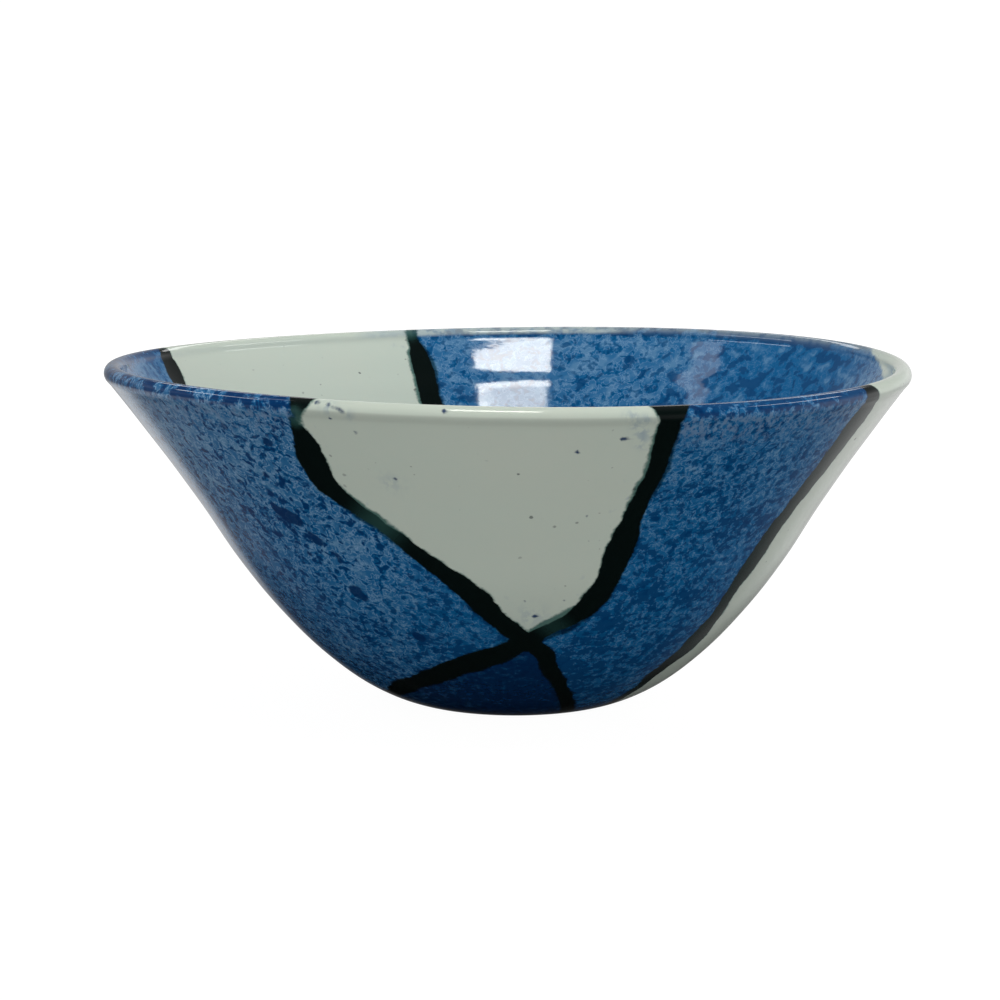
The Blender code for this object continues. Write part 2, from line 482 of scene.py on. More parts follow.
CLOUDS = (
    Spot(24, -156, 20, 1.3), Spot(37, -129, 6, 0.9), Spot(85, -113, 22, 0.45), Spot(104, -100, 10, 0.6),
    Spot(66, -120, 10, 0.35), Spot(-14, 12, 16, 1.0), Spot(104, -80, 9, 0.6), Spot(25, -140, 18, 0.3),
    Spot(15, -66, 14, 0.45), Spot(30, -47, 22, 0.3), Spot(75, -60, 22, -0.3), Spot(45, -123, 12, -0.35),
    Spot(60, -135, 14, -0.3), Spot(120, -85, 40, -0.5), Spot(150, -90, 30, -0.8), Spot(-20, 72, 8, 0.5),
    Spot(-15, 54, 9, 0.5), Spot(-25, 60, 16, -0.2),
)


@dataclass
class Bowl:
    """The bowl: a section turned round its axis, eased a little out of true, with its brushwork.

    Attributes:
        section: Half section that is turned.
        foot_offset: How far the foot sits to the right of the rim's middle.
        rim_wave: How far the rim rises and falls, twice round the bowl.
        rim_wave_direction: Azimuth of one of its two high places, in degrees.
        sides: Columns round the bowl.
        rings: Rings from the floor's middle to the axis underneath.
        seam: Azimuth of the first column, in degrees.
        coarse_step: Distance of the rings on the walls.
        fine_step: Their distance on the lip and at the foot.
        lip_reach: How far the fine rings go on each side of the lip's crest and the foot's edge.
        brush_reach: How far along the wall a place of a stroke's course is looked at, in mm.
        fade_gap: How far a place without colour is moved away, in mm.
        fade_depth: Depth of colour below which a place starts to be moved away.
        ripple: Depth of the throwing marks outside.
        ripple_length: Distance from one throwing mark to the next.
        shoulder: Distance of the inner shoulder below the lip's crest.
        shoulder_width: Half of the shoulder's breadth.
        shoulder_slope: Slope at the shoulder's middle.
        deep_start: Distance down in mm from which the blue under the crossing turns darker,
        as painted shade.
        deep_fade: Distance in mm over which it does so down the wall.
        deep_edge: Distance in mm over which it does so from the bands.
    """

    section: Section
    foot_offset: float = 0.0027
    rim_wave: float = 0.00125
    rim_wave_direction: float = 35.0
    sides: int = 384
    rings: int = 258
    seam: float = 130.0
    coarse_step: float = 0.0017
    fine_step: float = 0.00045
    lip_reach: float = 0.007
    brush_reach: float = 30.0
    fade_gap: float = 8.0
    fade_depth: float = 0.25
    ripple: float = 0.00005
    ripple_length: float = 0.024
    shoulder: float = 0.02575
    shoulder_width: float = 0.006
    shoulder_slope: float = 0.036
    deep_start: float = 108.0
    deep_fade: float = 8.0
    deep_edge: float = 4.0

    def stations(self, along: np.ndarray, foot: float) -> np.ndarray:
        """Distances along the section for the rings, close together on the lip and at the foot.

        Rings are spread evenly over the running sum of one divided by the wanted step.

        Args:
            along: Distances from the lip's crest of the section's closely set points.
            foot: Distance of the foot's edge.

        Returns:
            Distance of each ring, from the floor's middle to the axis underneath.
        """
        close = np.minimum(np.abs(along) / self.lip_reach, np.abs(along - foot) / self.lip_reach)
        step = self.fine_step + (self.coarse_step - self.fine_step) * smoothstep(0.8, 1.8, close)
        weight = np.concatenate([[0.0], np.cumsum(np.diff(along) / step[1:])])
        return np.interp(np.linspace(0.0, weight[-1], self.rings), weight, along)

    def grid(self) -> Grid:
        """Works out the rings and columns of the surface.

        Returns:
            Arrays on the grid of rings by columns: place, down in mm, azimuth in degrees, metric
            in mm for a degree, pattern, which is the place with its height unrolled into distance
            down the wall, and the foot's distance down in mm.
        """
        line = self.section.line()
        keep = np.concatenate([[True], np.linalg.norm(np.diff(line, axis=0), axis=1) > 1e-9])
        line = line[keep]
        steps = np.linalg.norm(np.diff(line, axis=0), axis=1)
        along = np.concatenate([[0.0], np.cumsum(steps)])
        along -= along[np.argmax(line[:, 1])]
        foot = along[np.argmax((line[:, 1] <= 0.0) & (along > 0.0))]
        station = self.stations(along, foot)
        radius = np.interp(station, along, line[:, 0])
        height = np.interp(station, along, line[:, 1])
        radius, height = self.thrown(station, radius, height, foot)
        azimuth = self.seam + np.arange(self.sides) * 360.0 / self.sides
        turn = np.radians(azimuth)
        share = (height / self.section.height)[:, None]
        rise = self.rim_wave * np.cos(2 * (turn - math.radians(self.rim_wave_direction))) * share**2
        x = radius[:, None] * np.cos(turn)
        y = radius[:, None] * np.sin(turn)
        down = np.broadcast_to(station[:, None], x.shape)
        place = np.stack([x + self.foot_offset * (1 - share), y, height[:, None] + rise], axis=2)
        round_mm = np.broadcast_to(radius[:, None], x.shape) / MM
        return {
            "place": place,
            "down": down / MM,
            "azimuth": np.broadcast_to(wrapped(azimuth), x.shape),
            "metric": round_mm * math.pi / 180.0,
            "pattern": np.stack([x, y, down], axis=2),
            "foot": np.full(x.shape, foot / MM),
        }

    def thrown(
        self, station: np.ndarray, radius: np.ndarray, height: np.ndarray, foot: float
    ) -> tuple[np.ndarray, np.ndarray]:
        """Gives the walls the faint marks of throwing, as a depth along the section's normal.

        Outside it is a sine that sinks into the clay only and fades out at the lip and the foot.
        Inside it is one low shoulder under the lip: t exp(-t^2), where t is the distance from its
        middle divided by its width.

        Args:
            station: Distance of each ring along the section.
            radius: Radius of each ring.
            height: Height of each ring.
            foot: Distance of the foot's edge.

        Returns:
            Radius and height of each ring with the marks.
        """
        slope = np.arctan2(np.gradient(height), np.gradient(radius))
        fade = smoothstep(0.004, 0.014, station) * smoothstep(0.030, 0.060, radius) * (station < foot)
        phase = 2 * math.pi * (station - self.lip_reach) / self.ripple_length
        rings = self.ripple * (0.5 - 0.5 * np.cos(phase)) * fade
        t = (-station - self.shoulder) / self.shoulder_width
        depth = rings - self.shoulder_slope * self.shoulder_width * t * np.exp(-(t**2))
        return radius + depth * np.sin(slope), height - depth * np.cos(slope)

    def brushwork(self, grid: Grid) -> Grid:
        """Distance from each place to the strokes, and what lies there.

        Each stroke is swept by discs along its course: the distance is the least of the distances
        to a disc's middle less its radius, and the depth is that of the nearest disc. Discs that
        carry next to no colour are moved away.

        Args:
            grid: Arrays of the surface.

        Returns:
            Arrays of band (mm, negative inside), wash (mm, the same with the bleed) and depth.
        """
        down, azimuth, metric = grid["down"], grid["azimuth"], grid["metric"]
        band = np.full(down.shape, FAR)
        wash = np.full(down.shape, FAR)
        depth = np.zeros(down.shape)
        for place, middle, width, thick, bleed in np.concatenate([stroke.course() for stroke in STROKES]):
            ends = [place - self.brush_reach, place + self.brush_reach]
            rows = slice(*np.searchsorted(down[:, 0], ends))
            across = wrapped(azimuth[rows] - middle) * metric[rows]
            gap = np.hypot(across, down[rows] - place) - width / 2
            faded = self.fade_gap * (1.0 - min(1.0, thick / self.fade_depth))
            depth[rows] = np.where(gap < band[rows], thick, depth[rows])
            band[rows] = np.minimum(band[rows], gap + faded)
            wash[rows] = np.minimum(wash[rows], gap - bleed + faded)
        return {"band": band, "wash": wash, "depth": depth}

    def layers(self, grid: Grid) -> Grid:
        """Works out the value that the mesh stores for each part of the finish.

        Args:
            grid: Arrays of the surface.

        Returns:
            Arrays by the attribute's name. white is the distance into the nearest white field and
            dab the distance to the nearest dab's edge, both in mm. cloud and smudge are sums over
            their spots of the strength times exp(-(gap / radius)^2).
        """
        down = grid["down"]
        left, right = LEFT_FRONT.middle(down), RIGHT_FRONT.middle(down)
        crossed = np.minimum(left - grid["azimuth"], grid["azimuth"] - right) * grid["metric"]
        low = smoothstep(self.deep_start, self.deep_start + self.deep_fade, down)
        soft = {"cloud": CLOUDS, "smudge": SMUDGES}
        return self.brushwork(grid) | {
            "white": np.clip(np.max([field.inside(grid) for field in FIELDS], axis=0), -FAR, FAR),
            "dab": np.min([spot.gap(grid) - spot.radius for spot in DABS], axis=0).clip(max=FAR),
            # painted shade: darker low on the front, between the bands under their crossing
            "deep": smoothstep(0.0, self.deep_edge, crossed) * low,
            "pale": self.paleness(grid),
            "crest": self.crest(grid),
            "bare": self.clay(grid),
        } | {
            name: sum(spot.strength * np.exp(-((spot.gap(grid) / spot.radius) ** 2)) for spot in spots)
            for name, spots in soft.items()
        }

    def faces(self) -> tuple[np.ndarray, np.ndarray, np.ndarray]:
        """Faces of the grid, each corner given by its ring and its column.

        The first and the last ring lie on the axis and become one vertex each, so the rows next to
        them are fans of triangles, whose middle corner lies half a column along.

        Returns:
            For the corners of all faces in order their vertices and their places on the texture
            map, which are the shares round the bowl and of the rings. Then each face's corners.
        """
        column = np.arange(self.sides, dtype=float)[:, None]
        last = self.rings - 1
        fan, side = column + [0.5, 0.0, 1.0], column + [0.0, 0.0, 1.0, 1.0]
        rows = np.arange(1, last - 1)[:, None, None] + np.array([0, 1, 1, 0])
        rows, around = np.broadcast_arrays(rows, side)
        ends = np.repeat([[0, 1, 1], [last - 1, last, last - 1]], self.sides, axis=0)
        ring = np.concatenate([ends.ravel(), rows.ravel()])
        turn = np.concatenate([fan.ravel(), fan[:, [1, 0, 2]].ravel(), around.ravel()])
        inside = 1 + (ring - 1) * self.sides + turn.astype(int) % self.sides
        pole = 1 + (last - 1) * self.sides
        vertex = np.select([ring == 0, ring == last], [0, pole], inside)
        totals = np.repeat([3, 4], [2 * self.sides, (last - 2) * self.sides])
        return vertex, np.stack([turn / self.sides, ring / last], axis=1), totals

    def per_vertex(self, values: np.ndarray) -> np.ndarray:
        """Grid values in the order of the vertices, with each pole taken once."""
        return np.concatenate([values[0, :1], values[1:-1].reshape(-1, *values.shape[2:]), values[-1, :1]])

    def build(self) -> bpy.types.Object:
        """Makes the bowl's mesh with its texture map and the attributes that its finish reads.

        Returns:
            The bowl's object, linked to the scene.
        """
        grid = self.grid()
        corners, unrolled, totals = self.faces()
        starts = np.cumsum(totals) - totals
        vertices = self.per_vertex(grid["place"])
        vertices[[0, -1], :2] = [self.foot_offset, 0.0]
        mesh = bpy.data.meshes.new("serving_bowl")
        mesh.vertices.add(len(vertices))
        mesh.vertices.foreach_set("co", vertices.astype(np.float32).ravel())
        mesh.loops.add(len(corners))
        mesh.loops.foreach_set("vertex_index", corners.astype(np.int32))
        mesh.polygons.add(len(totals))
        mesh.polygons.foreach_set("loop_start", starts.astype(np.int32))
        mesh.update(calc_edges=True)
        mesh.validate()
        uv = mesh.uv_layers.new(name="unrolled")
        uv.uv.foreach_set("vector", unrolled.astype(np.float32).ravel())
        self.store(mesh, grid)
        mesh.shade_smooth()
        piece = bpy.data.objects.new("serving_bowl", mesh)
        bpy.context.scene.collection.objects.link(piece)
        return piece

    def store(self, mesh: bpy.types.Mesh, grid: Grid) -> None:
        """Writes the layers and the pattern's place on the vertices.

        Args:
            mesh: Mesh that takes them.
            grid: Arrays of the surface.
        """
        for name, value in self.layers(grid).items():
            layer = mesh.attributes.new(name, "FLOAT", "POINT")
            layer.data.foreach_set("value", self.per_vertex(value).astype(np.float32))
        layer = mesh.attributes.new("pattern", "FLOAT_VECTOR", "POINT")
        layer.data.foreach_set("vector", self.per_vertex(grid["pattern"]).astype(np.float32).ravel())

    def paleness(self, grid: Grid) -> np.ndarray:
        """How pale and veined the blue is.

        Outside it is most on the left, and least low down. Inside it is least on the right, but
        for the end by the rim's right tip.

        Args:
            grid: Arrays of the surface.

        Returns:
            Paleness, from about 0 to 1.
        """
        left = smoothstep(0.1, 0.5, -np.cos(np.radians(grid["azimuth"])))
        low = smoothstep(20.0, 110.0, grid["down"])
        outside = 0.36 + 0.42 * left - (0.18 + 0.17 * left) * low
        aside = np.abs(grid["azimuth"])
        middle = 0.04 + 0.72 * smoothstep(24.0, 74.0, aside)
        inside = middle + 0.70 * (1.0 - smoothstep(2.0, 24.0, aside)) - 0.25 * smoothstep(140.0, 165.0, aside)
        return np.where(grid["down"] < 0.0, inside, outside)

    def crest(self, grid: Grid) -> np.ndarray:
        """How pale the lip turns at the back: fully on the left half of it.

        The pale is partly glaze that breaks thin over the roll and partly a painted reflection.

        Args:
            grid: Arrays of the surface.

        Returns:
            Share of the pale colour.
        """
        down, azimuth = grid["down"], grid["azimuth"]
        full = smoothstep(64.0, 76.0, azimuth)
        rolled = smoothstep(-5.2, -1.2 - 2.6 * full, down) * (1.0 - smoothstep(0.8, 2.0, down))
        back = smoothstep(0.0, 14.0, azimuth) * (1.0 - smoothstep(112.0, 118.0, azimuth))
        return (0.50 + 0.45 * full) * rolled * back

    def clay(self, grid: Grid) -> np.ndarray:
        """Where the glaze was wiped off.

        Args:
            grid: Arrays of the surface.

        Returns:
            One on the foot ring's resting face, and zero elsewhere.
        """
        past = grid["down"] - grid["foot"]
        width = self.section.ring_width / MM
        return smoothstep(-0.9, -0.1, past) * (1.0 - smoothstep(width - 0.6, width + 0.4, past))


class Tree:
    """Shader tree with one short method for each kind of node that the finishes use."""

    def __init__(self, tree: bpy.types.NodeTree) -> None:
        """Takes the tree that the nodes go into."""
        self.tree = tree

    def put(self, socket: Socket, value: Given) -> None:
        """Links a socket, or sets its plain value.

        Args:
            socket: Input that takes the value.
            value: Output to link, plain value, or None to leave the socket as it is.
        """
        if isinstance(value, bpy.types.NodeSocket):
            self.tree.links.new(value, socket)
        elif value is not None:
            socket.default_value = (*value, 1.0) if socket.type == "RGBA" else value

    def node(self, kind: str, given: dict[int | str, Given], **settings: object) -> bpy.types.Node:
        """Adds a node.

        Args:
            kind: Type of the node.
            given: What its inputs take, by number or name.
            settings: Settings by name, which are made before the inputs are set.

        Returns:
            The new node.
        """
        made = self.tree.nodes.new(kind)
        for name, value in settings.items():
            setattr(made, name, value)
        for key, value in given.items():
            self.put(made.inputs[key], value)
        return made

    def math(self, operation: str, first: Given, second: Given = None, clamp: bool = False) -> Socket:
        """Result of a sum, product or other operation on one or two values."""
        given = {0: first, 1: second}
        return self.node("ShaderNodeMath", given, operation=operation, use_clamp=clamp).outputs[0]

    def times(self, first: Given, second: Given) -> Socket:
        """Product of two values."""
        return self.math("MULTIPLY", first, second)

    def plus(self, first: Given, second: Given) -> Socket:
        """Sum of two values."""
        return self.math("ADD", first, second)

    def less(self, first: Given, second: Given) -> Socket:
        """First value with the second taken away."""
        return self.math("SUBTRACT", first, second)

    def span(self, value: Socket, low: Given, high: Given, start: float = 0.0, end: float = 1.0) -> Socket:
        """Value eased from start to end while it goes from low to high."""
        given = dict(enumerate((value, low, high, start, end)))
        return self.node("ShaderNodeMapRange", given, interpolation_type="SMOOTHSTEP").outputs[0]

    def mix(self, share: Given, first: Given, second: Given, blend: str = "MIX") -> Socket:
        """Colour between two colours."""
        settings = {"data_type": "RGBA", "blend_type": blend, "clamp_factor": True}
        return self.node("ShaderNodeMix", {0: share, 6: first, 7: second}, **settings).outputs[2]

    def blend(self, share: Given, first: Given, second: Given) -> Socket:
        """Value between two values."""
        settings = {"data_type": "FLOAT", "clamp_factor": True}
        return self.node("ShaderNodeMix", {0: share, 2: first, 3: second}, **settings).outputs[0]

    def noise(
        self, place: Socket, scale: float, detail: float = 2.0, rough: float = 0.5, warp: float = 0.0
    ) -> Socket:
        """Fractal noise about one half, at a scale in lumps per metre."""
        given = {"Vector": place, "Scale": scale, "Detail": detail, "Roughness": rough, "Distortion": warp}
        return self.node("ShaderNodeTexNoise", given).outputs["Fac"]

    def stretch(self, place: Socket, scale: Colour, shift: Colour = (0.0, 0.0, 0.0)) -> Socket:
        """Place with each axis scaled and shifted, so that noise lengthens or moves."""
        given = {"Vector": place, "Location": shift, "Scale": scale}
        return self.node("ShaderNodeMapping", given).outputs["Vector"]

    def warped(self, place: Socket, scale: float, reach: float) -> Socket:
        """Place moved to and fro by noise, so that round shapes turn uneven."""
        given = {0: self.node("ShaderNodeTexNoise", {"Vector": place, "Scale": scale}).outputs["Color"]}
        return self.vector("MULTIPLY_ADD", given | {1: (reach,) * 3, 2: place}, "Vector")

    def vector(self, operation: str, given: dict[int, Given], output: str) -> Socket:
        """Result of an operation on places."""
        return self.node("ShaderNodeVectorMath", given, operation=operation).outputs[output]

    def attribute(self, name: str, output: str = "Fac") -> Socket:
        """Value that the mesh stores under a name."""
        return self.node("ShaderNodeAttribute", {}, attribute_name=name).outputs[output]

    def group(self, group: bpy.types.ShaderNodeTree, output: str, **given: Given) -> Socket:
        """Output of a copy of a node group, with its inputs given by name."""
        return self.node("ShaderNodeGroup", given, node_tree=group).outputs[output]

    def axes(self, place: Socket) -> bpy.types.bpy_prop_collection:
        """Three values of a place."""
        return self.node("ShaderNodeSeparateXYZ", {0: place}).outputs


def new_group(
    name: str, inputs: dict[str, Kind], outputs: dict[str, Kind]
) -> tuple[Tree, dict[str, Socket], bpy.types.Node]:
    """Starts a shader node group.

    Args:
        name: Name of the group.
        inputs: Kind of each input socket by name.
        outputs: Kind of each output socket by name.

    Returns:
        The group's tree, its input sockets by name and its output node.
    """
    group = bpy.data.node_groups.new(name, "ShaderNodeTree")
    for sockets, way in ((inputs, "INPUT"), (outputs, "OUTPUT")):
        for label, kind in sockets.items():
            group.interface.new_socket(name=label, in_out=way, socket_type=kind.value)
    tree = Tree(group)
    given = tree.node("NodeGroupInput", {})
    result = tree.node("NodeGroupOutput", {})
    return tree, {label: given.outputs[label] for label in inputs}, result


def brush_edge_group() -> bpy.types.ShaderNodeTree:
    """Mask with a ragged edge, from a signed distance in mm that is negative inside.

    Coarse and fine noise are added to the distance, each times the ragged value, and the sum is
    eased from one to zero over the soft width.

    Returns:
        The group's tree, whose output is the mask.
    """
    tree, given, result = new_group(
        "brush_edge",
        {"Pattern": Kind.VECTOR, "Distance": Kind.VALUE, "Ragged": Kind.VALUE, "Soft": Kind.VALUE},
        {"Mask": Kind.VALUE},
    )
    coarse = tree.less(tree.noise(given["Pattern"], 120.0, 2.0), 0.5)
    fine = tree.less(tree.noise(given["Pattern"], 700.0, 3.0, 0.6), 0.5)
    wobble = tree.plus(tree.times(coarse, 4.5), tree.times(fine, 1.6))
    distance = tree.plus(given["Distance"], tree.times(wobble, given["Ragged"]))
    negative = tree.times(given["Soft"], -1.0)
    tree.put(result.inputs["Mask"], tree.span(distance, negative, given["Soft"], 1.0, 0.0))
    return tree.tree


@dataclass(frozen=True)
class SpongedBlue:
    """Blue glaze dabbed on with a sponge: navy flecks and pale veins in a cloudy middle blue."""

    # navy of the painted shade low on the front, under the bands' crossing
    deep: Colour = (0.0010, 0.0190, 0.0760)
    dab: Colour = (0.0009, 0.0260, 0.1050)
    navy: Colour = (0.0008, 0.0340, 0.1300)
    middle: Colour = (0.0040, 0.1150, 0.3000)
    pale: Colour = (0.1200, 0.2700, 0.4500)
    vein: Colour = (0.2300, 0.3950, 0.5900)
    grey: Colour = (0.1500, 0.2500, 0.4000)
    sponge_scale: float = 340.0
    coarse_scale: float = 225.0
    inner_scale: float = 165.0
    fleck_scale: float = 330.0
    cloud_scale: float = 62.0

    def group(self) -> bpy.types.ShaderNodeTree:
        """Node group of the sponged blue.

        The tone is noise at the size of the sponge's pores, coarser where the field is pale and
        softer inside the bowl. Slow noise, the painted clouds and the field's paleness shift it.
        It runs through three blues, which a second noise varies. Pale veins follow the line where
        that noise is about one half, and navy flecks are its low places. Painted shade darkens the
        colour to navy in the hollow under the lip, and streaks break it to grey below.

        Returns:
            The group's tree, whose output is the glaze's colour.
        """
        names = ("Inner", "Cloud", "Pale", "Deep", "Lip", "HollowShade", "Drip")
        tree, given, result = new_group(
            "sponged_blue",
            {"Pattern": Kind.VECTOR} | dict.fromkeys(names, Kind.VALUE),
            {"Colour": Kind.COLOUR},
        )
        place = given["Pattern"]
        inner, cloud, pale, deep, lip, hollow_shade, drip = (given[name] for name in names)
        outer = tree.less(1.0, inner)
        flatter = tree.stretch(place, (1.0, 1.0, 0.9))
        small, large = (
            tree.noise(flatter, scale, 5.0, 0.62, 0.25) for scale in (self.sponge_scale, self.coarse_scale)
        )
        pores = tree.blend(tree.span(pale, 0.42, 0.62), small, large)
        calm = tree.plus(tree.noise(place, self.inner_scale, 2.0, 0.45, 0.3), 0.02)
        slow = tree.less(tree.noise(place, self.cloud_scale, 3.0, 0.55), 0.5)
        cloudy = tree.times(slow, tree.span(inner, 0.0, 1.0, 0.36, 0.45))
        tone = tree.plus(tree.blend(inner, pores, calm), cloudy)
        tone = tree.plus(tone, tree.times(cloud, 0.12))
        tone = tree.plus(tone, tree.times(tree.less(pale, 0.5), 0.14))
        tone = tree.less(tone, tree.times(lip, 0.14))
        moved = tree.stretch(place, (1.0, 1.0, 0.9), (0.41, 0.23, 0.57))
        second = tree.noise(moved, self.fleck_scale, 3.0, 0.55, 0.4)
        least = tree.math("MAXIMUM", tree.times(inner, 0.4), tree.span(pale, 0.3, 0.6, 0.3, 0.0))
        lit = tree.math("MAXIMUM", tree.span(tone, 0.35, 0.48), least)
        fine = tree.times(tree.span(second, 0.36, 0.62), tree.span(pale, 0.0, 1.0, 0.02, 0.24))
        shaded = tree.mix(lit, self.navy, tree.mix(fine, self.middle, self.pale))
        share = tree.times(tree.span(inner, 0.0, 1.0, 1.0, 0.66), tree.span(second, 0.30, 0.55, 0.55, 1.0))
        toned = tree.mix(tree.times(tree.span(tone, 0.52, 0.74), share), shaded, self.pale)
        ridge = tree.span(tree.math("ABSOLUTE", tree.less(second, 0.51)), 0.0, 0.040, 1.0, 0.0)
        veined_here = tree.times(tree.span(tone, 0.36, 0.48), tree.span(pale, 0.0, 1.0, 0.22, 1.0))
        vein = tree.times(tree.times(ridge, veined_here), tree.span(outer, 0.0, 1.0, 0.5, 0.9))
        veined = tree.mix(vein, toned, self.vein)
        dark_here = tree.times(tree.span(outer, 0.0, 1.0, 0.5, 1.0), tree.span(pale, 0.15, 0.6, 0.35, 1.0))
        fleck = tree.times(tree.span(second, 0.37, 0.455, 0.94, 0.0), dark_here)
        flecked = tree.mix(fleck, veined, self.navy)
        # painted shade: navy in the hollow under the lip, broken up by the pores
        hollow_shaded = tree.mix(tree.times(hollow_shade, tree.span(pores, 0.60, 0.44, 0.0, 0.8)), flecked, self.navy)
        streak = tree.noise(tree.stretch(place, (1.0, 1.0, 0.35)), 560.0, 3.0, 0.6)
        streaked = tree.mix(tree.times(tree.span(streak, 0.46, 0.62), drip), hollow_shaded, self.grey)
        # painted shade: the blue turns to the deep navy low on the front
        thick = tree.times(deep, tree.span(pores, 0.3, 0.75, 1.0, 0.6))
        tree.put(result.inputs["Colour"], tree.mix(thick, streaked, self.deep))
        return tree.tree


@dataclass(frozen=True)
class PlainWhite:
    """Pale grey-green white glaze, nearly even, with a few dark pinholes and faint blue smudges."""

    body: Colour = (0.555, 0.650, 0.575)
    warm: Colour = (0.600, 0.655, 0.575)
    pinhole: Colour = (0.070, 0.085, 0.090)
    smudge: Colour = (0.260, 0.350, 0.440)
    # pale of the back lip: partly thin glaze, partly painted reflection
    crest: Colour = (0.440, 0.520, 0.520)
    # grey that multiplies the white as painted shade in the hollow under the lip
    hollow_shaded: Colour = (0.800, 0.800, 0.800)
    pinhole_scale: float = 260.0

    def group(self) -> bpy.types.ShaderNodeTree:
        """Node group of the plain white.

        Two noises mix its two whites. Smudges are a noise's high places near the field's edge, and
        a finer noise rubs the painted ones. Pinholes are the middles of a few uneven cells, more
        of them near the edge. Painted shade darkens it in the hollow under the lip.

        Returns:
            The group's tree, whose output is the glaze's colour.
        """
        tree, given, result = new_group(
            "plain_white",
            {"Pattern": Kind.VECTOR, "Inside": Kind.VALUE, "HollowShade": Kind.VALUE, "Smudge": Kind.VALUE},
            {"Colour": Kind.COLOUR},
        )
        place = given["Pattern"]
        mottle = tree.times(tree.noise(place, 260.0, 4.0, 0.6), 0.5)
        slow = tree.times(tree.noise(place, 24.0, 2.0), 0.7)
        ground = tree.mix(tree.math("ADD", mottle, slow, clamp=True), self.body, self.warm)
        edge = tree.span(given["Inside"], 1.0, 14.0, 1.0, 0.0)
        smudge = tree.span(tree.noise(tree.stretch(place, (1.0, 1.0, 0.5)), 260.0, 2.0), 0.62, 0.78)
        ground = tree.mix(tree.times(smudge, tree.times(edge, 0.6)), ground, self.smudge)
        rubbed = tree.span(tree.noise(tree.stretch(place, (1.0, 1.0, 0.6)), 420.0, 3.0, 0.6), 0.42, 0.58)
        painted = tree.math("MULTIPLY", rubbed, given["Smudge"], clamp=True)
        ground = tree.mix(painted, ground, self.smudge)
        # painted shade: the white darkens in the hollow under the lip
        ground = tree.mix(given["HollowShade"], ground, self.hollow_shaded, "MULTIPLY")
        uneven = tree.warped(place, 500.0, 0.0012)
        cells = tree.node("ShaderNodeTexVoronoi", {"Vector": uneven, "Scale": self.pinhole_scale})
        chance = tree.axes(cells.outputs["Color"])
        few = tree.less(0.72, tree.times(edge, 0.22))
        size = tree.span(chance[0], few, 1.1, 0.0, 0.30)
        middle = tree.span(cells.outputs["Distance"], tree.times(size, 0.6), size, 0.8, 0.0)
        hole = tree.times(middle, chance[1])
        tree.put(result.inputs["Colour"], tree.mix(hole, ground, self.pinhole))
        return tree.tree


@dataclass(frozen=True)
class BrushedBand:
    """Near-black green colour of the brushed bands, with the green that bleeds from their edges."""

    core: Colour = (0.0026, 0.0062, 0.0058)
    thin: Colour = (0.0220, 0.0680, 0.0620)
    bleed: Colour = (0.060, 0.190, 0.190)


@dataclass(frozen=True)
class BareClay:
    """Fired clay of the foot ring, where the glaze was wiped away."""

    body: Colour = (0.420, 0.350, 0.270)
    roughness: float = 0.75


